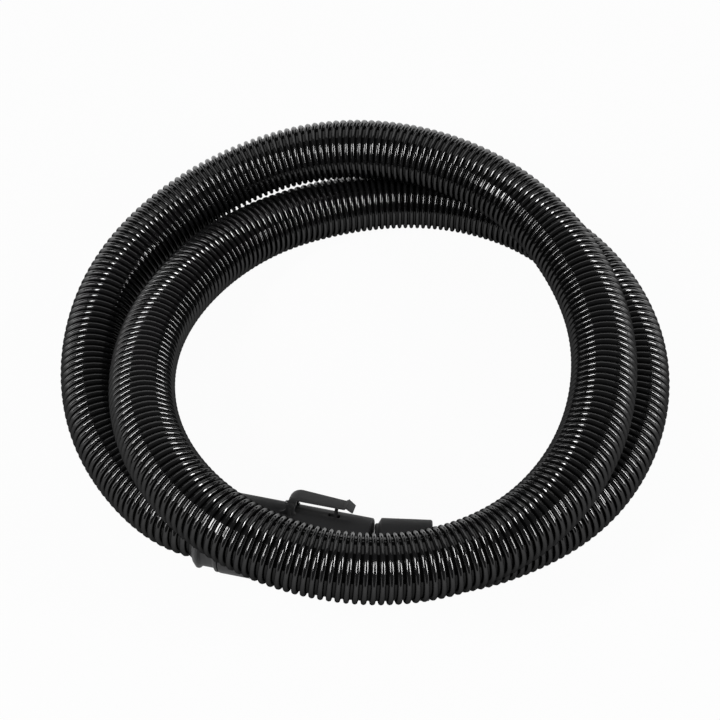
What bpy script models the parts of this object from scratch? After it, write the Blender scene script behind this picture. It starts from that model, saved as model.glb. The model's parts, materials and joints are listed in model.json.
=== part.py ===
"""Vacuum hose in two loose turns, with a latching swivel connector and a swivel cuff.

Units are metres and +Z is up. The hose lies on the plane z = 0, the origin is at the middle of
the coil's box, +X is to the right and +Y is away from the side where the two ends meet.
"""

import math

import bmesh
import bpy
import numpy as np
from mathutils import Matrix, Vector

MM = 0.001
GAP = 0.3 * MM            # clearance between pieces that touch
TURN_STEPS = 48           # facets round a turned piece

# Hose
HOSE_RADIUS = 23 * MM
PRESSED_RADIUS = 22.3 * MM # where the two turns press on each other as they cross
HOSE_POINTS = 100         # even stations of the plain tube
HOSE_LEAD = 3.0 * MM      # straight length outside each fitting
HOSE_SIDES = 4            # bevel resolution, 12 sides
COIL_CENTRE = Vector((0.3, 15.9, 0.0)) * MM
# Bearing in degrees, reach from the coil's centre and height of the centreline in millimetres,
# from the connector's end round to the cuff's end.
ROUTE = [
    (213, 189.6, 23.6), (200, 194.1, 23.1), (180, 196.9, 23.4), (160, 195.6, 26.9), (140, 187.8, 34.8),
    (120, 177.4, 47.1), (100, 166.6, 59.2), (80, 158.6, 66.1), (60, 156.0, 67.8), (40, 157.3, 65.5),
    (20, 160.4, 62.4), (0, 165.6, 62.3), (-20, 172.7, 64.8), (-40, 182.6, 68.5), (-60, 191.9, 72.0),
    (-80, 195.6, 75.6), (-100, 193.9, 78.9), (-119.9, 188.1, 79.1), (-139.8, 176.8, 73.0), (-159.9, 163.4, 61.2),
    (-180, 151.8, 48.9), (-200, 143.3, 38.4), (-220, 139.1, 30.5), (-240, 137.9, 25.1), (-260, 140.3, 22.5),
    (-280, 148.3, 22.4), (-300, 161.3, 23.2), (-320, 175.9, 24.1), (-340, 188.3, 23.9), (-360, 196.0, 23.6),
    (-380, 196.3, 23.1), (-400, 190.3, 23.0), (-415, 181.5, 23.5),
]
PRESSED = {120, 100, 80, 60, 40, -240, -260, -280, -300, -320}   # bearings where the turns cross

# Connector: its own Z runs from the parting line to the mouth, its own X points at the latch
SHELL_RADIUS = 27.7 * MM
CONNECTOR_LENGTH = 96 * MM
CONNECTOR_PARTING = Vector((-92.7, -128.2, 27.7)) * MM
CONNECTOR_HEADING = -12.1         # degrees from +X, seen from above
LATCH_BEARING = 55.0              # degrees above the floor, leaning away from the front
MOUTH_CHAMFER = 0.6 * MM
LEAD_IN_RADIUS = 24.8 * MM        # the mouth opens out so that a spigot finds it
LEAD_IN_DEPTH = 5 * MM
SOCKET_RADIUS = 23.5 * MM
SOCKET_DEPTH = 48 * MM
FLOW_RADIUS = 19 * MM
SEAL_STATION = 80 * MM
SEAL_SECTION = 1.2 * MM
SEAL_GROOVE_DEPTH = 1.7 * MM

# Collar on the hose, before the parting line
COLLAR_LENGTH = 18.4 * MM
COLLAR_RIM_RADIUS = 27.2 * MM
COLLAR_NECK_RADIUS = 25.3 * MM
COLLAR_SHOULDER_RADIUS = 27.5 * MM
COLLAR_SHOULDER = (2.4 * MM, 4.2 * MM)    # its foot and its top, behind the parting line
COLLAR_RIM = (12.4 * MM, 13.9 * MM, 15.5 * MM)
COLLAR_LIP = 0.9 * MM             # wall where the collar runs out on the hose
PARTING_GAP = 0.6 * MM
HOSE_SEAT = 3.3 * MM              # the hose ends this far behind the parting line
JOURNAL_RADIUS = 22 * MM
JOURNAL_LENGTH = 18 * MM
RING_STATION = 12.4 * MM
RING_THICKNESS = 2 * MM
RING_INNER = 20.9 * MM
RING_OUTER = 23.8 * MM
RING_GROOVE_DEPTH = 1.4 * MM
RING_CHAMBER_RADIUS = 24.5 * MM

# Latch
PIVOT_STATION = 41.8 * MM
PIVOT_RADIUS = 31.9 * MM          # from the connector's axis
PIN_RADIUS = 1.2 * MM
EYE_RADIUS = 3.2 * MM
LEVER_WIDTH = 11.5 * MM
ELBOW_STATION = 46.9 * MM
ELBOW_TOP = 39.2 * MM
ELBOW_UNDER = 35.9 * MM
ELBOW_BEND = 8.3 * MM
ELBOW_INNER = 44.6 * MM            # where the upright part of the arm ends
ELBOW_FILLET = 1.6 * MM
TIP_STATION = 76.6 * MM
TIP_TOP = 37.3 * MM
TIP_UNDER = 36.0 * MM
FINGER_RIDGE = (2.0 * MM, 1.5 * MM)       # past the tip, and above it
FINGER_NOSE = (6.9 * MM, -2.1 * MM)
FINGER_NOTCH = (1.8 * MM, 1.0 * MM)       # past the tip, and above its underside
NOSE_DEPTH = 0.6 * MM
PEG_STATION = 71.6 * MM
PEG_RADIUS = 1.2 * MM
PEG_REACH = 22.6 * MM
PEG_SLOT_WIDTH = 4 * MM
PEG_SLOT_LENGTH = 8 * MM
LUG_THICKNESS = 2.6 * MM
LUG_CROWN = 2.8 * MM
LUG_FLARE = 3.3 * MM              # sweep of the foot behind the lug
LUG_FILLET = 1.0 * MM
LUG_ROOT = 25 * MM                # the lugs start this far from the axis, inside the shell's wall
LUG_RIB_WIDTH = 2.0 * MM
LUG_RIB_HEIGHT = 0.7 * MM
LUG_RIB_TOP = 31.7 * MM
PIN_BITE = 1.6 * MM               # the pin goes this far into each lug, and doesn't come out
SPRING_SLOT_WIDTH = 5.2 * MM
SPRING_SLOT = (27.9 * MM, 35.1 * MM)      # its floor and its roof, from the connector's axis
SPRING_SLOT_LENGTH = 8 * MM
SPRING_WIRE = 0.4 * MM
SPRING_COIL_RADIUS = 2.2 * MM
SPRING_TURNS = 3.5
SPRING_LEG = 5 * MM
SPRING_TAIL = 2.6 * MM

# Cuff: its own Z runs from the tail to the nose
CUFF_RADIUS = 27.1 * MM
CUFF_LENGTH = 38.5 * MM
CUFF_TAIL = Vector((44.4, -149.0, 27.1)) * MM
CUFF_HEADING = 177.5
CUFF_SHOULDER = (34.2 * MM, 36.2 * MM)    # where the nose starts to narrow, and where its spigot starts
CUFF_SPIGOT_RADIUS = 23.4 * MM
CUFF_EDGE = 0.8 * MM
CUFF_LIP_RADIUS = 23.5 * MM
CUFF_LIP = 3 * MM
CUFF_CHAMBER_RADIUS = 24.7 * MM
CUFF_BORE_RADIUS = 19.5 * MM
SLEEVE_LENGTH = 17.2 * MM
WASHER_THICKNESS = 1.4 * MM
WASHER_BORE_RADIUS = 19.9 * MM


def material(name, colour, roughness, metallic=0.0):
    """Principled material of one finish."""
    made = bpy.data.materials.new(name)
    made.use_nodes = True
    shader = made.node_tree.nodes["Principled BSDF"]
    shader.inputs["Base Color"].default_value = (*colour, 1.0)
    shader.inputs["Roughness"].default_value = roughness
    shader.inputs["Metallic"].default_value = metallic
    return made


def clear_scene():
    """Start from an empty scene with a collection for the parts and one for the cutters."""
    for old in list(bpy.data.objects):
        bpy.data.objects.remove(old, do_unlink=True)
    parts = bpy.data.collections.new("vacuum_hose")
    cutters = bpy.data.collections.new("cutters")
    for group in (parts, cutters):
        bpy.context.scene.collection.children.link(group)
    return parts, cutters


PARTS, CUTTERS = clear_scene()
GLOSS_BLACK = material("hose_gloss_black", (0.012, 0.012, 0.013), 0.22)
CHARCOAL = material("fitting_charcoal", (0.024, 0.024, 0.025), 0.55)
RUBBER = material("seal_rubber", (0.010, 0.010, 0.010), 0.8)
STEEL = material("spring_steel", (0.55, 0.55, 0.56), 0.3, 1.0)


def axis_frame(name, origin, heading, roll=90.0):
    """Empty whose Z lies level along a heading and whose X stands at a roll above the floor."""
    along = Vector((math.cos(math.radians(heading)), math.sin(math.radians(heading)), 0.0))
    level = Vector((-along.y, along.x, 0.0))
    up = Vector((0.0, 0.0, 1.0))
    side = level * math.cos(math.radians(roll)) + up * math.sin(math.radians(roll))
    turn = Matrix((side, along.cross(side), along)).transposed()
    empty = bpy.data.objects.new(name, None)
    empty.matrix_world = Matrix.Translation(origin) @ turn.to_4x4()
    PARTS.objects.link(empty)
    return empty


def place(piece, parent, collection=PARTS, finish=None):
    """Link a piece, hang it on its frame and give it its finish."""
    collection.objects.link(piece)
    piece.parent = parent
    if finish:
        piece.data.materials.append(finish)
    if collection is CUTTERS:
        piece.hide_render = True
        piece.display_type = "WIRE"
    return piece


def turned(name, profile, parent, finish, steps=TURN_STEPS):
    """Closed profile of (radius, station) points turned about the frame's Z.

    The points run down the outer side, along the bottom and up the inner side.
    """
    mesh = bpy.data.meshes.new(name)
    count = len(profile)
    points = [(radius, 0.0, station) for radius, station in profile]
    mesh.from_pydata(points, [(i, (i + 1) % count) for i in range(count)], [])
    piece = place(bpy.data.objects.new(name, mesh), parent, PARTS, finish)
    screw = piece.modifiers.new("turn", "SCREW")
    screw.axis = "Z"
    screw.angle = math.tau
    screw.steps = steps
    screw.render_steps = steps
    screw.use_merge_vertices = True
    screw.merge_threshold = 0.00001
    screw.use_smooth_shade = False
    return piece


def plate(name, outline, thickness, parent, collection, finish=None):
    """Flat outline of (station, radius) points, thickened evenly to both sides of the frame's XZ plane."""
    curve = bpy.data.curves.new(name + "_outline", "CURVE")
    curve.dimensions = "2D"
    curve.fill_mode = "BOTH"
    curve.extrude = thickness / 2
    spline = curve.splines.new("POLY")
    spline.points.add(len(outline) - 1)
    for point, (station, radius) in zip(spline.points, outline):
        point.co = (station, radius, 0.0, 1.0)
    spline.use_cyclic_u = True
    drawn = bpy.data.objects.new(name + "_outline", curve)
    bpy.context.scene.collection.objects.link(drawn)
    depsgraph = bpy.context.evaluated_depsgraph_get()
    mesh = bpy.data.meshes.new_from_object(drawn.evaluated_get(depsgraph))
    mesh.name = name
    bpy.data.objects.remove(drawn, do_unlink=True)
    stand = Matrix(((0, 1, 0, 0), (0, 0, 1, 0), (1, 0, 0, 0), (0, 0, 0, 1)))
    work = bmesh.new()
    work.from_mesh(mesh)
    bmesh.ops.remove_doubles(work, verts=work.verts, dist=0.00001)
    bmesh.ops.transform(work, matrix=stand, verts=work.verts)
    bmesh.ops.recalc_face_normals(work, faces=work.faces)
    work.to_mesh(mesh)
    work.free()
    return place(bpy.data.objects.new(name, mesh), parent, collection, finish)


def rod(name, start, end, radius, parent, collection, finish=None, sides=20):
    """Round rod between two points of the frame."""
    start, end = Vector(start), Vector(end)
    span = end - start
    turn = span.to_track_quat("Z", "Y").to_matrix().to_4x4()
    mesh = bpy.data.meshes.new(name)
    work = bmesh.new()
    middle = Matrix.Translation((start + end) / 2) @ turn
    bmesh.ops.create_cone(work, cap_ends=True, segments=sides, radius1=radius, radius2=radius,
                          depth=span.length, matrix=middle)
    work.to_mesh(mesh)
    work.free()
    return place(bpy.data.objects.new(name, mesh), parent, collection, finish)


def block(name, centre, size, parent):
    """Box cutter in the frame."""
    mesh = bpy.data.meshes.new(name)
    work = bmesh.new()
    scale = Matrix.Diagonal((*size, 1.0))
    bmesh.ops.create_cube(work, size=1.0, matrix=Matrix.Translation(centre) @ scale)
    work.to_mesh(mesh)
    work.free()
    return place(bpy.data.objects.new(name, mesh), parent, CUTTERS)


def combine(piece, operand, operation):
    """Cut or join a piece with another solid."""
    step = piece.modifiers.new(operand.name, "BOOLEAN")
    step.operation = operation
    step.object = operand


def arc(centre, radius, start, end, steps):
    """Points on an arc, angles in degrees."""
    angles = (math.radians(start + (end - start) * i / steps) for i in range(steps + 1))
    return [(centre[0] + radius * math.cos(a), centre[1] + radius * math.sin(a)) for a in angles]


def smooth_curve(points, count):
    """Natural cubic spline through the points, read at even stations and where the straight ends stop."""
    knots = np.array([tuple(point) for point in points])
    chord = np.linalg.norm(np.diff(knots[:, :3], axis=0), axis=1)
    station = np.concatenate([[0.0], np.cumsum(chord)])
    size = len(knots)
    system = np.eye(size)
    bend = np.zeros_like(knots)
    for i in range(1, size - 1):
        system[i, i - 1:i + 2] = chord[i - 1], 2 * (chord[i - 1] + chord[i]), chord[i]
        bend[i] = 6 * ((knots[i + 1] - knots[i]) / chord[i] - (knots[i] - knots[i - 1]) / chord[i - 1])
    second = np.linalg.solve(system, bend)
    read = np.union1d(np.linspace(0.0, station[-1], count), station[[1, -2]])
    i = np.clip(np.searchsorted(station, read, side="right") - 1, 0, size - 2)
    span = chord[i][:, None]
    after = (read - station[i])[:, None]
    before = span - after
    curve = (second[i] * before ** 3 + second[i + 1] * after ** 3) / (6 * span)
    curve += (knots[i] / span - second[i] * span / 6) * before
    curve += (knots[i + 1] / span - second[i + 1] * span / 6) * after
    return curve


def along(frame, station):
    """Point on a frame's axis."""
    return frame.matrix_world @ Vector((0.0, 0.0, station))


def hose_tube(connector, cuff):
    """Plain tube along the hose's centreline, straight where it enters its two fittings."""
    points = [(*along(connector, -HOSE_SEAT), HOSE_RADIUS),
              (*along(connector, -COLLAR_LENGTH - HOSE_LEAD), HOSE_RADIUS)]
    for bearing, reach, height in ROUTE:
        angle = math.radians(bearing)
        spot = COIL_CENTRE + Vector((reach * math.cos(angle), reach * math.sin(angle), height)) * MM
        points.append((*spot, PRESSED_RADIUS if bearing in PRESSED else HOSE_RADIUS))
    hose_end = CUFF_LIP + GAP + SLEEVE_LENGTH
    points += [(*along(cuff, -HOSE_LEAD), HOSE_RADIUS), (*along(cuff, hose_end), HOSE_RADIUS)]
    curve = bpy.data.curves.new("hose_tube", "CURVE")
    curve.dimensions = "3D"
    curve.bevel_depth = HOSE_RADIUS
    curve.bevel_resolution = HOSE_SIDES
    curve.use_fill_caps = True
    spline = curve.splines.new("POLY")
    stations = smooth_curve(points, HOSE_POINTS)
    spline.points.add(len(stations) - 1)
    for point, (x, y, z, radius) in zip(spline.points, stations):
        point.co = (x, y, z, 1.0)
        point.radius = radius / HOSE_RADIUS
    return place(bpy.data.objects.new("hose_tube", curve), None, PARTS, GLOSS_BLACK)


def hose_collar(connector):
    """Flared collar on the hose, with the journal that the connector turns on."""
    mouth = HOSE_RADIUS + GAP
    groove = RING_STATION - GAP
    profile = [
        (JOURNAL_RADIUS, JOURNAL_LENGTH),
        (JOURNAL_RADIUS, groove + RING_THICKNESS + 2 * GAP),
        (JOURNAL_RADIUS - RING_GROOVE_DEPTH, groove + RING_THICKNESS + 2 * GAP),
        (JOURNAL_RADIUS - RING_GROOVE_DEPTH, groove),
        (JOURNAL_RADIUS, groove),
        (JOURNAL_RADIUS, -PARTING_GAP),
        (COLLAR_SHOULDER_RADIUS, -PARTING_GAP),
        (COLLAR_SHOULDER_RADIUS, -COLLAR_SHOULDER[0]),
        (COLLAR_NECK_RADIUS, -COLLAR_SHOULDER[1]),
        (COLLAR_NECK_RADIUS, -COLLAR_RIM[0]),
        (COLLAR_RIM_RADIUS, -COLLAR_RIM[1]),
        (COLLAR_RIM_RADIUS, -COLLAR_RIM[2]),
        (mouth + COLLAR_LIP, -COLLAR_LENGTH),
        (mouth, -COLLAR_LENGTH),
        (mouth, -HOSE_SEAT + GAP),
        (FLOW_RADIUS, -HOSE_SEAT + GAP),
        (FLOW_RADIUS, JOURNAL_LENGTH),
    ]
    return turned("hose_collar", profile, connector, CHARCOAL)


def lug_outline():
    """Side view of a latch lug: round crown, and a foot that sweeps out behind."""
    back, front = PIVOT_STATION - LUG_CROWN, PIVOT_STATION + LUG_CROWN
    toe = front + LUG_FILLET
    heel = back - LUG_FLARE
    fillet = arc((toe, SHELL_RADIUS + LUG_FILLET), LUG_FILLET, -90, -180, 3)
    crown = arc((PIVOT_STATION, PIVOT_RADIUS), LUG_CROWN, 0, 180, 8)
    flare = arc((heel, SHELL_RADIUS + LUG_FLARE), LUG_FLARE, 0, -90, 5)
    return [(heel, LUG_ROOT), (toe, LUG_ROOT)] + fillet + crown + flare


def connector_body(connector):
    """Socket shell with the journal bore, the seal groove, the latch's lugs and its peg slot."""
    web = CONNECTOR_LENGTH - SOCKET_DEPTH
    chamber = RING_STATION - 2 * GAP
    groove_half = SEAL_SECTION + GAP
    groove_radius = SOCKET_RADIUS + SEAL_GROOVE_DEPTH
    profile = [
        (SHELL_RADIUS - MOUTH_CHAMFER, CONNECTOR_LENGTH),
        (SHELL_RADIUS, CONNECTOR_LENGTH - MOUTH_CHAMFER),
        (SHELL_RADIUS, MOUTH_CHAMFER),
        (SHELL_RADIUS - MOUTH_CHAMFER, 0.0),
        (JOURNAL_RADIUS + GAP, 0.0),
        (JOURNAL_RADIUS + GAP, chamber),
        (RING_CHAMBER_RADIUS, chamber),
        (RING_CHAMBER_RADIUS, JOURNAL_LENGTH + 2 * MM),
        (FLOW_RADIUS, JOURNAL_LENGTH + 3 * MM),
        (FLOW_RADIUS, web),
        (SOCKET_RADIUS, web),
        (SOCKET_RADIUS, SEAL_STATION - groove_half),
        (groove_radius, SEAL_STATION - groove_half),
        (groove_radius, SEAL_STATION + groove_half),
        (SOCKET_RADIUS, SEAL_STATION + groove_half),
        (SOCKET_RADIUS, CONNECTOR_LENGTH - LEAD_IN_DEPTH),
        (LEAD_IN_RADIUS, CONNECTOR_LENGTH),
    ]
    body = turned("connector_body", profile, connector, CHARCOAL)
    inside = LEVER_WIDTH / 2 + GAP
    outside = inside + LUG_THICKNESS
    rib_low, rib_high = PIVOT_STATION - LUG_RIB_WIDTH / 2, PIVOT_STATION + LUG_RIB_WIDTH / 2
    rib_outline = [(rib_low, LUG_ROOT), (rib_high, LUG_ROOT), (rib_high, LUG_RIB_TOP), (rib_low, LUG_RIB_TOP)]
    for name, side in (("near", 1), ("far", -1)):
        lug = plate(name + "_lug", lug_outline(), LUG_THICKNESS, connector, CUTTERS)
        lug.location.y = side * (inside + outside) / 2
        combine(body, lug, "UNION")
        rib = plate(name + "_rib", rib_outline, 2 * LUG_RIB_HEIGHT, connector, CUTTERS)
        rib.location.y = side * outside
        combine(body, rib, "UNION")
    reach = inside + PIN_BITE + GAP / 2
    hole = rod("pin_hole", (PIVOT_RADIUS, -reach, PIVOT_STATION), (PIVOT_RADIUS, reach, PIVOT_STATION),
               PIN_RADIUS + GAP / 2, connector, CUTTERS)
    combine(body, hole, "DIFFERENCE")
    slot = block("peg_slot", (SHELL_RADIUS, 0.0, PEG_STATION - 1 * MM),
                 (12 * MM, PEG_SLOT_WIDTH, PEG_SLOT_LENGTH), connector)
    combine(body, slot, "DIFFERENCE")
    return body


def ring(name, inner, outer, low, high, parent, finish):
    """Plain flat ring."""
    return turned(name, [(outer, high), (outer, low), (inner, low), (inner, high)], parent, finish)


def connector_seal(connector):
    """Rubber ring in the socket's groove."""
    middle = SOCKET_RADIUS + SEAL_GROOVE_DEPTH - SEAL_SECTION - GAP / 2
    circle = arc((middle, SEAL_STATION), SEAL_SECTION, 90, -270, 10)[:-1]
    return turned("connector_seal", circle, connector, RUBBER)


def lever_outline():
    """Side view of the latch arm: eye, elbow, tapering arm and the finger ridge at its tip."""
    eye = (PIVOT_STATION, PIVOT_RADIUS)
    lean = math.degrees(math.atan2(TIP_TOP - ELBOW_TOP, TIP_STATION - ELBOW_STATION))
    elbow = arc((ELBOW_STATION, ELBOW_TOP - ELBOW_BEND), ELBOW_BEND, 168, 90 + lean, 10)
    ridge = (TIP_STATION + FINGER_RIDGE[0], TIP_TOP + FINGER_RIDGE[1])
    nose = (TIP_STATION + FINGER_NOSE[0], TIP_TOP + FINGER_NOSE[1])
    notch = (TIP_STATION + FINGER_NOTCH[0], TIP_UNDER + FINGER_NOTCH[1])
    tip = [(TIP_STATION, TIP_TOP), ridge, nose, (nose[0] - NOSE_DEPTH, nose[1] - NOSE_DEPTH), notch,
           (TIP_STATION + FINGER_NOTCH[0] / 2, TIP_UNDER)]
    fillet = arc((ELBOW_INNER + ELBOW_FILLET, ELBOW_UNDER - ELBOW_FILLET), ELBOW_FILLET, 90, 170, 4)
    heel = arc(eye, EYE_RADIUS, 10, -178, 12)
    return elbow + tip + fillet + heel


def latch_lever(connector, pivot):
    """Latch arm that turns on its pin, with the locking peg under it."""
    lift = Vector((-PIVOT_RADIUS, 0.0, -PIVOT_STATION))
    lever = plate("latch_lever", lever_outline(), LEVER_WIDTH, pivot, PARTS, CHARCOAL)
    lever.data.transform(Matrix.Translation(lift))
    peg = rod("peg", (PEG_REACH, 0.0, PEG_STATION), ((TIP_TOP + TIP_UNDER) / 2, 0.0, PEG_STATION),
              PEG_RADIUS, connector, CUTTERS)
    combine(lever, peg, "UNION")
    hole = rod("eye_hole", (PIVOT_RADIUS, -LEVER_WIDTH, PIVOT_STATION),
               (PIVOT_RADIUS, LEVER_WIDTH, PIVOT_STATION), PIN_RADIUS + GAP, connector, CUTTERS)
    combine(lever, hole, "DIFFERENCE")
    floor, roof = SPRING_SLOT
    slot = block("spring_slot", ((floor + roof) / 2, 0.0, PIVOT_STATION - 0.6 * MM),
                 (roof - floor, SPRING_SLOT_WIDTH, SPRING_SLOT_LENGTH), connector)
    combine(lever, slot, "DIFFERENCE")
    return lever


def latch_pin(connector):
    """Steel pin through the arm's eye, held in the two lugs."""
    reach = LEVER_WIDTH / 2 + GAP + PIN_BITE
    return rod("latch_pin", (PIVOT_RADIUS, -reach, PIVOT_STATION), (PIVOT_RADIUS, reach, PIVOT_STATION),
               PIN_RADIUS, connector, PARTS, STEEL)


def latch_spring(connector):
    """Torsion spring round the pin: one leg runs back over the shell, the other bears on the arm's slot."""
    width = SPRING_SLOT_WIDTH - 4 * SPRING_WIRE
    start, turns = math.radians(180.0), SPRING_TURNS
    points = [(PIVOT_RADIUS - SPRING_COIL_RADIUS, -width / 2, PIVOT_STATION - SPRING_LEG)]
    steps = int(turns * 12)
    for i in range(steps + 1):
        angle = start + math.tau * turns * i / steps
        points.append((PIVOT_RADIUS + SPRING_COIL_RADIUS * math.cos(angle), width * (i / steps - 0.5),
                       PIVOT_STATION + SPRING_COIL_RADIUS * math.sin(angle)))
    points.append((PIVOT_RADIUS + SPRING_COIL_RADIUS, width / 2, PIVOT_STATION + SPRING_TAIL))
    curve = bpy.data.curves.new("latch_spring", "CURVE")
    curve.dimensions = "3D"
    curve.bevel_depth = SPRING_WIRE
    curve.bevel_resolution = 2
    curve.use_fill_caps = True
    spline = curve.splines.new("POLY")
    spline.points.add(len(points) - 1)
    for point, place_ in zip(spline.points, points):
        point.co = (*place_, 1.0)
    return place(bpy.data.objects.new("latch_spring", curve), connector, PARTS, STEEL)


def cuff_pieces(cuff):
    """Sleeve on the hose end, soft washer, and the cuff that turns round them."""
    sleeve_low = CUFF_LIP + GAP
    sleeve_high = sleeve_low + SLEEVE_LENGTH
    washer_low = sleeve_high + GAP
    shoulder = washer_low + WASHER_THICKNESS + GAP
    sleeve_radius = CUFF_CHAMBER_RADIUS - 1.3 * GAP
    ring("cuff_sleeve", HOSE_RADIUS + GAP, sleeve_radius, sleeve_low, sleeve_high, cuff, CHARCOAL)
    ring("cuff_washer", WASHER_BORE_RADIUS, sleeve_radius, washer_low,
         washer_low + WASHER_THICKNESS, cuff, RUBBER)
    profile = [
        (CUFF_SPIGOT_RADIUS - CUFF_EDGE, CUFF_LENGTH),
        (CUFF_SPIGOT_RADIUS, CUFF_LENGTH - CUFF_EDGE),
        (CUFF_SPIGOT_RADIUS, CUFF_SHOULDER[1]),
        (CUFF_RADIUS, CUFF_SHOULDER[0]),
        (CUFF_RADIUS, CUFF_EDGE),
        (CUFF_RADIUS - CUFF_EDGE, 0.0),
        (CUFF_LIP_RADIUS, 0.0),
        (CUFF_LIP_RADIUS, CUFF_LIP),
        (CUFF_CHAMBER_RADIUS, CUFF_LIP),
        (CUFF_CHAMBER_RADIUS, shoulder),
        (CUFF_BORE_RADIUS, shoulder),
        (CUFF_BORE_RADIUS, CUFF_LENGTH),
    ]
    turned("cuff_body", profile, cuff, CHARCOAL)


def shade_round_pieces():
    """Smooth shading with sharp edges kept."""
    for piece in PARTS.objects:
        if piece.type == "MESH":
            piece.data.shade_smooth()
            piece.data.set_sharp_from_angle(angle=math.radians(35))


def build():
    """Put the hose, its connector and its cuff together."""
    connector = axis_frame("connector_axis", CONNECTOR_PARTING, CONNECTOR_HEADING, LATCH_BEARING)
    cuff = axis_frame("cuff_axis", CUFF_TAIL, CUFF_HEADING)
    pivot = bpy.data.objects.new("latch_pivot", None)
    pivot.location = (PIVOT_RADIUS, 0.0, PIVOT_STATION)
    pivot.parent = connector
    PARTS.objects.link(pivot)
    bpy.context.view_layer.update()
    hose_tube(connector, cuff)
    hose_collar(connector)
    connector_body(connector)
    ring("swivel_ring", RING_INNER, RING_OUTER, RING_STATION, RING_STATION + RING_THICKNESS, connector, STEEL)
    connector_seal(connector)
    latch_lever(connector, pivot)
    latch_pin(connector)
    latch_spring(connector)
    cuff_pieces(cuff)
    shade_round_pieces()


build()
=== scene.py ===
"""Looks of a coiled corrugated vacuum hose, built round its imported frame."""

import json
import math

import bmesh
import bpy
import numpy as np
from bpy.props import FloatProperty, FloatVectorProperty, IntProperty, PointerProperty
from mathutils import Matrix, Vector


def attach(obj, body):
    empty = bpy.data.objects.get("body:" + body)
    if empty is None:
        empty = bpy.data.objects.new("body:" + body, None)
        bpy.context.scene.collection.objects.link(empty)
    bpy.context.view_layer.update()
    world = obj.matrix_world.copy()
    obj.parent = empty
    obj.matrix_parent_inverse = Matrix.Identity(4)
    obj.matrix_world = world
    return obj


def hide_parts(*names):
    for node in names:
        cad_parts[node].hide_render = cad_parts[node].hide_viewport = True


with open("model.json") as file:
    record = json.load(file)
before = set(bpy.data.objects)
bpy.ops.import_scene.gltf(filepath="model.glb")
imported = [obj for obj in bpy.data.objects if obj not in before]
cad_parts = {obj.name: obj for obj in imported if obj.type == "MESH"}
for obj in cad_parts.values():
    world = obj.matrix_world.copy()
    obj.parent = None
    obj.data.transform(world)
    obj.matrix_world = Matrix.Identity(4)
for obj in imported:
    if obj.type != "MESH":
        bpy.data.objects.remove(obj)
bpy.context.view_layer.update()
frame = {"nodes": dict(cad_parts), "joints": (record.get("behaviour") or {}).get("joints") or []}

bl_info = {
    "name": "Coiled vacuum hose",
    "version": (1, 0, 0),
    "blender": (4, 5, 0),
    "location": "View3D > Sidebar > Vacuum hose",
    "description": "Ribbed hose, latch connector, swivel cuff and a white stage",
    "category": "Object",
}

MM = 0.001
JOINTS = {joint["name"]: joint for joint in frame["joints"]}
PARTING = Vector(JOINTS["connector_swivel"]["pos_m"])
CONNECTOR_AXIS = Vector(JOINTS["connector_swivel"]["axis"]).normalized()
TAIL = Vector(JOINTS["cuff_swivel"]["pos_m"])
CUFF_AXIS = Vector(JOINTS["cuff_swivel"]["axis"]).normalized()

# The hose's route: bearing in degrees, reach from the coil's centre and height, in millimetres
COIL_CENTRE = Vector((0.3, 15.9, 0.0)) * MM
ROUTE = [
    (213, 189.6, 23.6), (200, 194.1, 23.1), (180, 196.9, 23.4), (160, 195.6, 26.9),
    (140, 187.8, 34.8), (120, 177.4, 47.1), (100, 166.6, 59.2), (80, 158.6, 66.1),
    (60, 156.0, 67.8), (40, 157.3, 65.5), (20, 160.4, 62.4), (0, 165.6, 62.3),
    (-20, 172.7, 64.8), (-40, 182.6, 68.5), (-60, 191.9, 72.0), (-80, 195.6, 75.6),
    (-100, 193.9, 78.9), (-119.9, 188.1, 79.1), (-139.8, 176.8, 73.0), (-159.9, 163.4, 61.2),
    (-180, 151.8, 48.9), (-200, 143.3, 38.4), (-220, 139.1, 30.5), (-240, 137.9, 25.1),
    (-260, 140.3, 22.5), (-280, 148.3, 22.4), (-300, 161.3, 23.2), (-320, 175.9, 24.1),
    (-340, 188.3, 23.9), (-360, 196.0, 23.6), (-380, 196.3, 23.1), (-400, 190.3, 23.0),
    (-415, 181.5, 23.5),
]
# Bearings where the two turns press on each other, and the share of the radius that is left there
PRESSED = {120, 100, 80, 60, 40, -240, -260, -280, -300, -320}
PRESSED_SHARE = 22.3 / 23
# The ends: the share of the radius in the collar, the hose's end behind the parting line, the collar's
# length, the straight lead before a fitting, and the hose's reach into the cuff
COLLAR_SHARE = 0.94
HOSE_SEAT = 3.3 * MM
COLLAR_LENGTH = 18.4 * MM
HOSE_LEAD = 3.0 * MM
CUFF_SEAT = 20.5 * MM
# Points read along the route
LINE_STATIONS = 2400

# One rib from crest to crest, as place along the pitch and share of the depth: a round crest, steep flanks
# and a flat valley floor
RIB = [(0.0, 0.0), (0.125, 0.06), (0.275, 0.26), (0.375, 1.0), (0.625, 1.0), (0.725, 0.26), (0.875, 0.06)]

# Angles in degrees above which an edge stays sharp on a fitting and on the ribs, above which a CAD edge is
# rounded, and under which two CAD facets become one face
SHARP_EDGE = 40.0
RIB_SHARP_EDGE = 43.0
ROUNDED_EDGE = 30.0
SAME_FACE = 0.5
BEVEL_SEGMENTS = 2

# Length added along the tube for each radian round it, far under the space between two rings, so that the
# points of one ring sort in turn
RING_STEP = 0.01 * MM

# Distances under which doubled points are merged
TUBE_MERGE = 0.005 * MM
CAD_MERGE = 0.01 * MM
FLOOR_MERGE = 1.0 * MM

# Moulded grain: detail of its fine and its cloudy noise, the part of the cloud that spreads the roughness,
# and the bump's height
GRAIN_DETAIL = 3.0
CLOUD_DETAIL = 4.0
CLOUD_SPAN = (0.3, 0.7)
GRAIN_HEIGHT = 0.1 * MM
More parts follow.
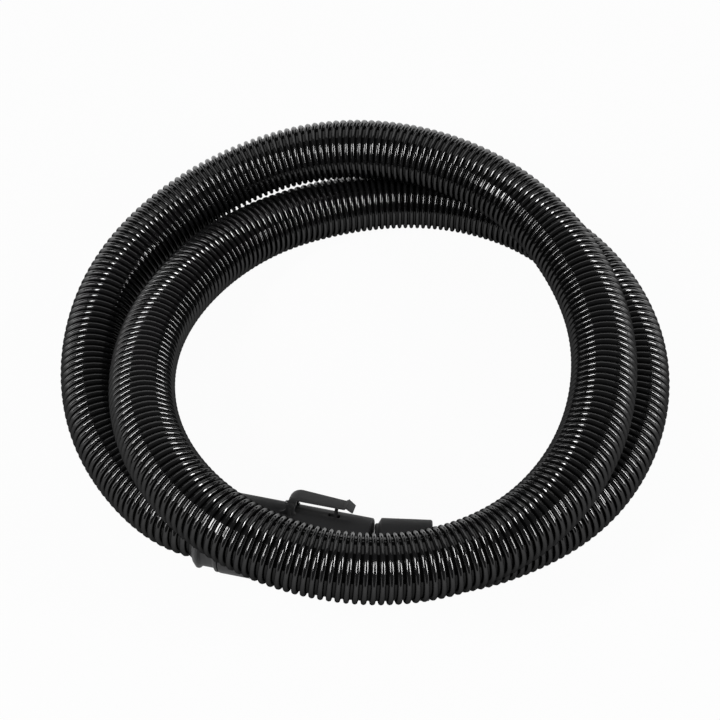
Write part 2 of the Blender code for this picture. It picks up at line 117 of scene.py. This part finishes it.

# Hose gloss, lowered as painted shade in the valleys and on the sides: the valleys' share of it, the heights
# on a rib between which it rises to full, the upward turns between which a surface becomes part of the upper
# side, the most that other sides keep, what scuffs leave, and the coat that gives it
VALLEY_GLOSS = 0.5
GLOSS_RISE = (0.35, 0.85)
UPPER_SIDE = (0.5, 0.75)
SIDE_GLOSS = 0.65
SCUFFED_GLOSS = 0.8
COAT_ROUGHNESS = 0.1
COAT_IOR = 1.9

# White floor: its grey, its roughness, its faces round the middle, and its rim as shares of the radius, with
# reach and height at the foot and reach at the top
FLOOR_GREY = 0.65
FLOOR_ROUGHNESS = 0.9
FLOOR_STEPS = 96
RIM_FOOT = (1.1, 0.04)
RIM_TOP = 1.13

# Lamps: name, direction from the coil, direction that the lamp's height follows, and the kind, which names
# its size and power in the stage's sizes
UPRIGHT = (0.0, 0.0, 1.0)
LEANING = (0.0, 0.4, 1.0)
LAMPS = [
    ("left_softbox", (-0.646, -0.334, 0.686), LEANING, "lamp"),
    ("right_softbox", (0.857, -0.235, 0.457), LEANING, "lamp"),
    ("left_strip", (-0.93, -0.15, 0.30), UPRIGHT, "strip"),
    ("right_strip", (0.95, -0.10, 0.25), UPRIGHT, "strip"),
    ("back_panel", (0.0, 0.64, 0.77), UPRIGHT, "panel"),
]


class HoseSizes(bpy.types.PropertyGroup):
    """Sizes of the ribbed hose."""

    diameter: FloatProperty(name="Diameter", description="Over the rib crests", default=46 * MM,
                            unit="LENGTH")
    pitch: FloatProperty(name="Rib pitch", description="Crest to crest on the centreline", default=4.97 * MM,
                         unit="LENGTH")
    depth: FloatProperty(name="Rib depth", description="Crest to valley", default=2.7 * MM, unit="LENGTH")
    sides: IntProperty(name="Sides", description="Faces round the hose", default=32, min=12)


class FittingSizes(bpy.types.PropertyGroup):
    """Rounding of the moulded fittings."""

    edge: FloatProperty(name="Edge rounding", description="Bevel on moulded edges", default=0.45 * MM,
                        unit="LENGTH")
    lever_edge: FloatProperty(name="Latch rounding", description="Bevel on the latch arm", default=0.35 * MM,
                              unit="LENGTH")


class Finishes(bpy.types.PropertyGroup):
    """Colours of the finishes."""

    hose: FloatVectorProperty(name="Hose", description="Gloss black hose plastic", subtype="COLOR", size=3,
                              default=(0.008, 0.008, 0.0083))
    # Painted light and shade: the collar and latch arm get a lighter copy of one charcoal, the connector,
    # cuff and sleeve a darker one
    lighter: FloatVectorProperty(name="Collar and latch", description="Satin charcoal plastic",
                                 subtype="COLOR", size=3, default=(0.053, 0.053, 0.054))
    darker: FloatVectorProperty(name="Connector and cuff", description="Darker satin charcoal plastic",
                                subtype="COLOR", size=3, default=(0.032, 0.032, 0.033))
    rubber: FloatVectorProperty(name="Seals", description="Matt black rubber", subtype="COLOR", size=3,
                                default=(0.012, 0.012, 0.012))
    steel: FloatVectorProperty(name="Steel", description="Bright spring steel", subtype="COLOR", size=3,
                               default=(0.56, 0.56, 0.57))


class StageSizes(bpy.types.PropertyGroup):
    """Camera, floor and lamps."""

    aim: FloatVectorProperty(name="Aim", description="Point shown at the picture's middle", size=3,
                             default=(-3.2 * MM, 28.5 * MM, 0.0), unit="LENGTH")
    elevation: FloatProperty(name="Elevation", description="Camera above the floor",
                             default=math.radians(57.0), subtype="ANGLE")
    distance: FloatProperty(name="Distance", description="Camera to aim point", default=1223.6 * MM,
                            unit="LENGTH")
    lens: FloatProperty(name="Lens", description="Focal length in millimetres", default=82.5)
    floor: FloatProperty(name="Floor", description="Radius of the floor", default=4.0, unit="LENGTH")
    floor_glow: FloatProperty(name="Floor white", description="Share of plain white in the floor",
                              default=0.96, subtype="FACTOR")
    wall: FloatProperty(name="Wall", description="Height of the floor's rim", default=0.3, unit="LENGTH")
    lamp_distance: FloatProperty(name="Lamp distance", description="Every lamp to the coil", default=1.7,
                                 unit="LENGTH")
    lamp_size: FloatVectorProperty(name="Lamp size", description="Width and height of a side softbox",
                                   size=2, default=(0.22, 1.0), unit="LENGTH")
    lamp_power: FloatProperty(name="Lamp power", description="Power of a side softbox", default=16.5,
                              unit="POWER")
    strip_size: FloatVectorProperty(name="Strip size", description="Width and height of a low side strip",
                                    size=2, default=(0.3, 0.9), unit="LENGTH")
    strip_power: FloatProperty(name="Strip power", description="Power of a low side strip", default=3.2,
                               unit="POWER")
    panel_size: FloatVectorProperty(name="Panel size", description="Width and height of the back panel",
                                    size=2, default=(2.6, 1.2), unit="LENGTH")
    panel_power: FloatProperty(name="Panel power", description="Power of the back panel", default=5.8,
                               unit="POWER")
    sky: FloatProperty(name="Sky", description="Strength of the even light", default=0.03)


def line_points():
    """Points of the hose's centreline with their shares of the radius, straight at both ends."""
    points = [(*(PARTING - CONNECTOR_AXIS * HOSE_SEAT), COLLAR_SHARE),
              (*(PARTING - CONNECTOR_AXIS * (COLLAR_LENGTH + HOSE_LEAD)), COLLAR_SHARE)]
    for bearing, reach, height in ROUTE:
        angle = math.radians(bearing)
        spot = COIL_CENTRE + Vector((reach * math.cos(angle), reach * math.sin(angle), height)) * MM
        points.append((*spot, PRESSED_SHARE if bearing in PRESSED else 1.0))
    return points + [(*(TAIL - CUFF_AXIS * HOSE_LEAD), 1.0), (*(TAIL + CUFF_AXIS * CUFF_SEAT), 1.0)]


def smooth_curve(points, count):
    """Natural cubic spline through the points, read at evenly spaced stations."""
    knots = np.array([tuple(point) for point in points])
    chord = np.linalg.norm(np.diff(knots[:, :3], axis=0), axis=1)
    station = np.concatenate([[0.0], np.cumsum(chord)])
    size = len(knots)
    system = np.eye(size)
    bend = np.zeros_like(knots)
    for i in range(1, size - 1):
        system[i, i - 1:i + 2] = chord[i - 1], 2 * (chord[i - 1] + chord[i]), chord[i]
        bend[i] = 6 * ((knots[i + 1] - knots[i]) / chord[i] - (knots[i] - knots[i - 1]) / chord[i - 1])
    second = np.linalg.solve(system, bend)
    read = np.linspace(0.0, station[-1], count)
    i = np.clip(np.searchsorted(station, read, side="right") - 1, 0, size - 2)
    span = chord[i][:, None]
    after = (read - station[i])[:, None]
    before = span - after
    curve = (second[i] * before ** 3 + second[i + 1] * after ** 3) / (6 * span)
    curve += (knots[i] / span - second[i] * span / 6) * before
    curve += (knots[i + 1] / span - second[i + 1] * span / 6) * after
    return curve


def carried_frames(line):
    """Stations along a line and two directions across it that turn as little as they can."""
    step = np.linalg.norm(np.diff(line, axis=0), axis=1)
    station = np.concatenate([[0.0], np.cumsum(step)])
    tangent = np.gradient(line, station, axis=0)
    tangent /= np.linalg.norm(tangent, axis=1)[:, None]
    across = np.zeros_like(line)
    across[0] = np.cross(tangent[0], (0.0, 0.0, 1.0))
    for i in range(1, len(line)):
        across[i] = across[i - 1] - tangent[i] * np.dot(across[i - 1], tangent[i])
        across[i] /= np.linalg.norm(across[i])
    return station, across, np.cross(tangent, across)


def new_piece(name, bm, material, sharp=SHARP_EDGE):
    """Mesh object from a bmesh, shaded smooth with its hard edges kept."""
    mesh = bpy.data.meshes.new(name)
    bm.to_mesh(mesh)
    bm.free()
    mesh.shade_smooth()
    mesh.set_sharp_from_angle(angle=math.radians(sharp))
    mesh.materials.append(material)
    piece = bpy.data.objects.new(name, mesh)
    bpy.context.scene.collection.objects.link(piece)
    return piece


def turn_order(spot):
    """Number that rises ring by ring along a straight tube, and round each ring."""
    return spot.z + RING_STEP * math.atan2(spot.y, spot.x)


def ribbed_tube(length, sizes):
    """Straight ribbed tube along +Z, made by spinning one long rib profile."""
    count = round(length / sizes.pitch)
    pitch = length / count
    radius = sizes.diameter / 2
    profile = [((rib + at) * pitch, radius - share * sizes.depth)
               for rib in range(count) for at, share in RIB]
    profile.append((length, radius))
    bm = bmesh.new()
    points = [bm.verts.new((across, 0.0, along)) for along, across in profile]
    edges = [bm.edges.new(pair) for pair in zip(points, points[1:])]
    bmesh.ops.spin(bm, geom=points + edges, cent=(0, 0, 0), axis=(0, 0, 1), angle=math.tau,
                   steps=sizes.sides, use_merge=True)
    bmesh.ops.remove_doubles(bm, verts=bm.verts, dist=TUBE_MERGE)
    bmesh.ops.holes_fill(bm, edges=[edge for edge in bm.edges if edge.is_boundary], sides=0)
    bmesh.ops.recalc_face_normals(bm, faces=bm.faces)
    # Spin and merge leave the points and faces in another order on each run
    bm.verts.sort(key=lambda vert: turn_order(vert.co))
    bm.edges.sort(key=lambda edge: turn_order((edge.verts[0].co + edge.verts[1].co) / 2))
    bm.faces.sort(key=lambda face: turn_order(face.calc_center_median()))
    return bm


def lay_along(piece, line, share, sizes):
    """Carry a straight tube's points to a line; keep how near a crest and how far up each one is."""
    station, across, beside = carried_frames(line)
    mesh = piece.data
    flat = np.zeros(len(mesh.vertices) * 3)
    mesh.vertices.foreach_get("co", flat)
    x, y, z = flat.reshape(-1, 3).T
    at = z * station[-1] / z.max()
    read = [np.stack([np.interp(at, station, part[:, k]) for k in range(3)], axis=1)
            for part in (line, across, beside)]
    squeeze = np.interp(at, station, share)
    placed = read[0] + read[1] * (x * squeeze)[:, None] + read[2] * (y * squeeze)[:, None]
    mesh.vertices.foreach_set("co", placed.ravel())
    radius = np.hypot(x, y)
    for name, value in (("crest", 1 - (sizes.diameter / 2 - radius) / sizes.depth),
                        ("upward", (read[1][:, 2] * x + read[2][:, 2] * y) / radius)):
        mesh.attributes.new(name, "FLOAT", "POINT").data.foreach_set("value", value)
    mesh.update()


def softened(node, name, edge, material):
    """Copy of a CAD node with its doubles merged and its hard edges rounded."""
    bm = bmesh.new()
    bm.from_mesh(frame["nodes"][node].data)
    bmesh.ops.remove_doubles(bm, verts=bm.verts, dist=CAD_MERGE)
    bmesh.ops.dissolve_limit(bm, angle_limit=math.radians(SAME_FACE), verts=bm.verts, edges=bm.edges)
    edges = [e for e in bm.edges if e.is_manifold and e.calc_face_angle() > math.radians(ROUNDED_EDGE)]
    bmesh.ops.bevel(bm, geom=edges, offset=edge, segments=BEVEL_SEGMENTS, profile=0.5, affect="EDGES",
                    clamp_overlap=True, material=-1)
    bmesh.ops.recalc_face_normals(bm, faces=bm.faces)
    piece = new_piece(name, bm, material)
    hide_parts(node)
    return piece


def group_socket(group, name, way, default=None):
    """Named number socket on a node group."""
    socket = group.interface.new_socket(name=name, in_out=way, socket_type="NodeSocketFloat")
    if default is not None:
        socket.default_value = default


def moulded_grain_group():
    """Fine moulded grain: a roughness that varies, a height for a bump and the cloud behind the roughness."""
    if "moulded_grain" in bpy.data.node_groups:
        return bpy.data.node_groups["moulded_grain"]
    group = bpy.data.node_groups.new("moulded_grain", "ShaderNodeTree")
    group_socket(group, "Grain Scale", "INPUT", default=1500.0)
    group_socket(group, "Cloud Scale", "INPUT", default=60.0)
    group_socket(group, "Smooth", "INPUT", default=0.3)
    group_socket(group, "Rough", "INPUT", default=0.5)
    group_socket(group, "Roughness", "OUTPUT")
    group_socket(group, "Height", "OUTPUT")
    group_socket(group, "Cloud", "OUTPUT")
    nodes, links = group.nodes, group.links
    given = nodes.new("NodeGroupInput")
    out = nodes.new("NodeGroupOutput")
    place = nodes.new("ShaderNodeTexCoord")
    grain = nodes.new("ShaderNodeTexNoise")
    grain.inputs["Detail"].default_value = GRAIN_DETAIL
    cloud = nodes.new("ShaderNodeTexNoise")
    cloud.inputs["Detail"].default_value = CLOUD_DETAIL
    spread = nodes.new("ShaderNodeMapRange")
    spread.inputs["From Min"].default_value, spread.inputs["From Max"].default_value = CLOUD_SPAN
    links.new(place.outputs["Object"], grain.inputs["Vector"])
    links.new(place.outputs["Object"], cloud.inputs["Vector"])
    links.new(given.outputs["Grain Scale"], grain.inputs["Scale"])
    links.new(given.outputs["Cloud Scale"], cloud.inputs["Scale"])
    links.new(cloud.outputs["Fac"], spread.inputs["Value"])
    links.new(given.outputs["Smooth"], spread.inputs["To Min"])
    links.new(given.outputs["Rough"], spread.inputs["To Max"])
    links.new(spread.outputs["Result"], out.inputs["Roughness"])
    links.new(grain.outputs["Fac"], out.inputs["Height"])
    links.new(cloud.outputs["Fac"], out.inputs["Cloud"])
    return group


def grained_material(name, smooth, rough, grain_scale, bump):
    """Material with the moulded grain on its roughness and normal; returns it, its shader and its grain."""
    made = bpy.data.materials.new(name)
    made.use_nodes = True
    nodes, links = made.node_tree.nodes, made.node_tree.links
    shader = nodes["Principled BSDF"]
    grain = nodes.new("ShaderNodeGroup")
    grain.node_tree = moulded_grain_group()
    grain.inputs["Grain Scale"].default_value = grain_scale
    grain.inputs["Smooth"].default_value = smooth
    grain.inputs["Rough"].default_value = rough
    relief = nodes.new("ShaderNodeBump")
    relief.inputs["Strength"].default_value = bump
    relief.inputs["Distance"].default_value = GRAIN_HEIGHT
    links.new(grain.outputs["Roughness"], shader.inputs["Roughness"])
    links.new(grain.outputs["Height"], relief.inputs["Height"])
    links.new(relief.outputs["Normal"], shader.inputs["Normal"])
    return made, shader, grain


def shade(colour, share):
    """A colour made darker or lighter by a share of itself, with its alpha."""
    return (*(min(1.0, part * share) for part in colour), 1.0)


def shade_between(made, shader, mask, colour, dark, light):
    """Base colour that runs by a mask between two shades, each a share of the colour."""
    nodes, links = made.node_tree.nodes, made.node_tree.links
    mix = nodes.new("ShaderNodeMix")
    mix.data_type = "RGBA"
    mix.inputs["A"].default_value = shade(colour, dark)
    mix.inputs["B"].default_value = shade(colour, light)
    links.new(mask, mix.inputs["Factor"])
    links.new(mix.outputs["Result"], shader.inputs["Base Color"])


def ranged(nodes, links, value, low, high, least, most):
    """Map Range node from low..high to least..most, fed by a value; returns its result."""
    node = nodes.new("ShaderNodeMapRange")
    for socket, number in (("From Min", low), ("From Max", high), ("To Min", least), ("To Max", most)):
        node.inputs[socket].default_value = number
    links.new(value, node.inputs["Value"])
    return node.outputs["Result"]


def joined(nodes, links, operation, first, second):
    """Two values put together by a Math node."""
    node = nodes.new("ShaderNodeMath")
    node.operation = operation
    links.new(first, node.inputs[0])
    links.new(second, node.inputs[1])
    return node.outputs["Value"]


def read_attribute(nodes, name):
    """Value of a mesh attribute."""
    node = nodes.new("ShaderNodeAttribute")
    node.attribute_name = name
    return node.outputs["Fac"]


def hose_gloss():
    """Black hose plastic: full gloss on the upper crests, with painted shade as half the gloss and a darker
    colour in the valleys and as less gloss on the sides.
    """
    colour = bpy.context.scene.hose_finishes.hose
    made, shader, grain = grained_material("ribbed_gloss", smooth=0.4, rough=0.6, grain_scale=700.0,
                                           bump=0.08)
    nodes, links = made.node_tree.nodes, made.node_tree.links
    crest = read_attribute(nodes, "crest")
    # Painted shade: the gloss falls to half in the rib valleys, where the ribs shade them
    valley_shaded_gloss = ranged(nodes, links, crest, *GLOSS_RISE, VALLEY_GLOSS, 1.0)
    # Painted shade: surfaces that face sideways or down keep less gloss, and less still at grazing angles, so
    # they reflect little of the white floor
    upper = ranged(nodes, links, read_attribute(nodes, "upward"), *UPPER_SIDE, 0.0, 1.0)
    facing = ranged(nodes, links, nodes.new("ShaderNodeLayerWeight").outputs["Facing"], 0.0, 1.0, 1.0, 0.0)
    squared = joined(nodes, links, "MULTIPLY", facing, facing)
    side = ranged(nodes, links, squared, 0.0, 1.0, 0.0, SIDE_GLOSS)
    scuff = ranged(nodes, links, grain.outputs["Cloud"], 0.0, 1.0, 1.0, SCUFFED_GLOSS)
    gloss = joined(nodes, links, "MULTIPLY", valley_shaded_gloss, joined(nodes, links, "MAXIMUM", upper, side))
    links.new(joined(nodes, links, "MULTIPLY", gloss, scuff), shader.inputs["Coat Weight"])
    shader.inputs["Specular IOR Level"].default_value = 0.0
    shader.inputs["Coat Roughness"].default_value = COAT_ROUGHNESS
    shader.inputs["Coat IOR"].default_value = COAT_IOR
    # Painted shade: the base colour is halved in the rib valleys
    shade_between(made, shader, crest, colour, dark=0.5, light=1.0)
    return made


def fitting_satin(name, colour):
    """Satin charcoal moulding with a fine spark-eroded grain."""
    made, shader, grain = grained_material(name, smooth=0.52, rough=0.66, grain_scale=2200.0, bump=0.35)
    shader.inputs["Specular IOR Level"].default_value = 0.2
    shade_between(made, shader, grain.outputs["Cloud"], colour, dark=0.85, light=1.15)
    return made


def satin_painted_light():
    """Charcoal of the collar and the latch arm, made lighter as painted light."""
    return fitting_satin("moulded_charcoal", bpy.context.scene.hose_finishes.lighter)


def satin_painted_shade():
    """Charcoal of the connector, the cuff and its sleeve, made darker as painted shade."""
    return fitting_satin("socket_charcoal", bpy.context.scene.hose_finishes.darker)


def seal_rubber():
    """Matt black rubber."""
    colour = bpy.context.scene.hose_finishes.rubber
    made, shader, grain = grained_material("matt_rubber", smooth=0.7, rough=0.85, grain_scale=1200.0,
                                           bump=0.3)
    shade_between(made, shader, grain.outputs["Cloud"], colour, dark=0.8, light=1.3)
    return made


def spring_steel():
    """Bright drawn steel."""
    colour = bpy.context.scene.hose_finishes.steel
    made, shader, grain = grained_material("drawn_steel", smooth=0.22, rough=0.4, grain_scale=1800.0,
                                           bump=0.1)
    shader.inputs["Metallic"].default_value = 1.0
    shade_between(made, shader, grain.outputs["Cloud"], colour, dark=0.85, light=1.1)
    return made


def finish(name, maker):
    """A finish by its name, made once."""
    return bpy.data.materials.get(name) or maker()


def dress(node, made):
    """Give a CAD node a finish."""
    slots = frame["nodes"][node].data.materials
    slots.clear()
    slots.append(made)


class VACUUMHOSE_OT_hose(bpy.types.Operator):
    """Ribbed hose along its two loose turns"""

    bl_idname = "vacuum_hose.hose"
    bl_label = "Ribbed hose"

    def execute(self, context):
        sizes = context.scene.hose_sizes
        curve = smooth_curve(line_points(), LINE_STATIONS)
        line, share = curve[:, :3], curve[:, 3]
        length = float(np.linalg.norm(np.diff(line, axis=0), axis=1).sum())
        gloss = finish("ribbed_gloss", hose_gloss)
        hose = new_piece("ribbed_hose", ribbed_tube(length, sizes), gloss, RIB_SHARP_EDGE)
        lay_along(hose, line, share, sizes)
        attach(hose, "hose")
        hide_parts("hose_tube")
        return {"FINISHED"}


class VACUUMHOSE_OT_connector(bpy.types.Operator):
    """Collar on the hose and the socket that turns on it"""

    bl_idname = "vacuum_hose.connector"
    bl_label = "Collar and connector"

    def execute(self, context):
        edge = context.scene.hose_fittings.edge
        # Painted light on the collar and painted shade on the connector, as two copies of one charcoal
        collar_satin = finish("moulded_charcoal", satin_painted_light)
        socket_satin = finish("socket_charcoal", satin_painted_shade)
        for node, name, body, satin in (("hose_collar", "flared_collar", "hose", collar_satin),
                                        ("connector_body", "connector_shell", "connector", socket_satin)):
            piece = softened(node, name, edge, satin)
            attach(piece, body)
        return {"FINISHED"}


class VACUUMHOSE_OT_latch(bpy.types.Operator):
    """Latch arm with its peg and finger tab"""

    bl_idname = "vacuum_hose.latch"
    bl_label = "Latch arm"

    def execute(self, context):
        edge = context.scene.hose_fittings.lever_edge
        # The latch arm gets the charcoal copy with painted light
        arm = softened("latch_lever", "latch_arm", edge, finish("moulded_charcoal", satin_painted_light))
        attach(arm, "latch")
        return {"FINISHED"}


class VACUUMHOSE_OT_cuff(bpy.types.Operator):
    """Plain swivel cuff on the hose's other end"""

    bl_idname = "vacuum_hose.cuff"
    bl_label = "Cuff"

    def execute(self, context):
        edge = context.scene.hose_fittings.edge
        # The cuff gets the charcoal copy with painted shade
        cuff = softened("cuff_body", "cuff_shell", edge, finish("socket_charcoal", satin_painted_shade))
        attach(cuff, "cuff")
        return {"FINISHED"}


class VACUUMHOSE_OT_inside(bpy.types.Operator):
    """Finish of the ring, seal, washer, sleeve, pin and spring inside the fittings"""

    bl_idname = "vacuum_hose.inside"
    bl_label = "Inner pieces"

    def execute(self, context):
        rubber = finish("matt_rubber", seal_rubber)
        steel = finish("drawn_steel", spring_steel)
        # The sleeve gets the charcoal copy with painted shade
        satin = finish("socket_charcoal", satin_painted_shade)
        for node in ("connector_seal", "cuff_washer"):
            dress(node, rubber)
        for node in ("swivel_ring", "latch_pin", "latch_spring"):
            dress(node, steel)
        dress("cuff_sleeve", satin)
        return {"FINISHED"}


def white_floor(sizes):
    """Matt floor that camera, gloss and glass see as nearly plain white, with a faint shadow left in it."""
    white = bpy.data.materials.new("white_floor")
    white.use_nodes = True
    nodes, links = white.node_tree.nodes, white.node_tree.links
    matt = nodes["Principled BSDF"]
    matt.inputs["Base Color"].default_value = (FLOOR_GREY, FLOOR_GREY, FLOOR_GREY, 1.0)
    matt.inputs["Roughness"].default_value = FLOOR_ROUGHNESS
    matt.inputs["Specular IOR Level"].default_value = 0.0
    glow = nodes.new("ShaderNodeEmission")
    path = nodes.new("ShaderNodeLightPath").outputs
    seen = path["Is Camera Ray"]
    for ray in ("Is Glossy Ray", "Is Transmission Ray"):
        seen = joined(nodes, links, "MAXIMUM", seen, path[ray])
    share = nodes.new("ShaderNodeMath")
    share.operation = "MULTIPLY"
    share.inputs[1].default_value = sizes.floor_glow
    blend = nodes.new("ShaderNodeMixShader")
    links.new(seen, share.inputs[0])
    links.new(share.outputs["Value"], blend.inputs["Fac"])
    links.new(matt.outputs["BSDF"], blend.inputs[1])
    links.new(glow.outputs["Emission"], blend.inputs[2])
    links.new(blend.outputs["Shader"], nodes["Material Output"].inputs["Surface"])
    return white


def stage_floor(sizes):
    """Round white floor whose rim rises to a low wall."""
    bm = bmesh.new()
    profile = [(0.0, 0.0), (sizes.floor, 0.0), (sizes.floor * RIM_FOOT[0], sizes.floor * RIM_FOOT[1]),
               (sizes.floor * RIM_TOP, sizes.wall)]
    points = [bm.verts.new((across, 0.0, high)) for across, high in profile]
    edges = [bm.edges.new(pair) for pair in zip(points, points[1:])]
    bmesh.ops.spin(bm, geom=points + edges, cent=(0, 0, 0), axis=(0, 0, 1), angle=math.tau,
                   steps=FLOOR_STEPS, use_merge=True)
    bmesh.ops.remove_doubles(bm, verts=bm.verts, dist=FLOOR_MERGE)
    bmesh.ops.recalc_face_normals(bm, faces=bm.faces)
    new_piece("floor", bm, white_floor(sizes))


def softbox(name, direction, lean, size, power, distance):
    """Lamp in a direction from the coil that faces it, with its height along the lean."""
    lamp = bpy.data.lights.new(name, "AREA")
    lamp.shape = "RECTANGLE"
    lamp.size, lamp.size_y = size
    lamp.energy = power
    holder = bpy.data.objects.new(name, lamp)
    way = Vector(direction).normalized()
    across = Vector(lean).cross(way).normalized()
    holder.location = way * distance
    holder.rotation_euler = Matrix((across, way.cross(across), way)).transposed().to_euler()
    bpy.context.scene.collection.objects.link(holder)


class VACUUMHOSE_OT_stage(bpy.types.Operator):
    """White floor, two softboxes, two low strips, a back panel, an even sky and the camera"""

    bl_idname = "vacuum_hose.stage"
    bl_label = "Stage"

    def execute(self, context):
        scene = context.scene
        sizes = scene.hose_stage
        scene.view_settings.view_transform = "Standard"
        stage_floor(sizes)
        for name, direction, lean, kind in LAMPS:
            size, power = getattr(sizes, kind + "_size"), getattr(sizes, kind + "_power")
            softbox(name, direction, lean, size, power, sizes.lamp_distance)
        world = bpy.data.worlds.new("even_sky")
        world.use_nodes = True
        sky = world.node_tree.nodes["Background"]
        sky.inputs["Color"].default_value = (1.0, 1.0, 1.0, 1.0)
        sky.inputs["Strength"].default_value = sizes.sky
        scene.world = world
        lens = bpy.data.cameras.new("camera")
        lens.lens = sizes.lens
        camera = bpy.data.objects.new("camera", lens)
        back = Vector((0.0, -math.cos(sizes.elevation), math.sin(sizes.elevation)))
        camera.location = Vector(sizes.aim) + back * sizes.distance
        camera.rotation_euler = (math.pi / 2 - sizes.elevation, 0.0, 0.0)
        scene.collection.objects.link(camera)
        scene.camera = camera
        return {"FINISHED"}


class VACUUMHOSE_PT_panel(bpy.types.Panel):
    """Steps of the vacuum hose"""

    bl_idname = "VACUUMHOSE_PT_panel"
    bl_label = "Vacuum hose"
    bl_space_type = "VIEW_3D"
    bl_region_type = "UI"
    bl_category = "Vacuum hose"

    def draw(self, context):
        for operator in OPERATORS:
            self.layout.operator(operator.bl_idname)


GROUPS = {
    "hose_sizes": HoseSizes,
    "hose_fittings": FittingSizes,
    "hose_finishes": Finishes,
    "hose_stage": StageSizes,
}
OPERATORS = (VACUUMHOSE_OT_hose, VACUUMHOSE_OT_connector, VACUUMHOSE_OT_latch, VACUUMHOSE_OT_cuff,
             VACUUMHOSE_OT_inside, VACUUMHOSE_OT_stage)


def register():
    """Add the property groups, the operators and the panel."""
    for name, group in GROUPS.items():
        bpy.utils.register_class(group)
        setattr(bpy.types.Scene, name, PointerProperty(type=group))
    for made in (*OPERATORS, VACUUMHOSE_PT_panel):
        bpy.utils.register_class(made)


def unregister():
    """Take them away again."""
    for made in (VACUUMHOSE_PT_panel, *reversed(OPERATORS)):
        bpy.utils.unregister_class(made)
    for name, group in GROUPS.items():
        delattr(bpy.types.Scene, name)
        bpy.utils.unregister_class(group)


def main():
    """Build the pieces and the stage."""
    register()
    for operator in OPERATORS:
        family, step = operator.bl_idname.split(".")
        getattr(getattr(bpy.ops, family), step)()


if __name__ == "__main__":
    main()
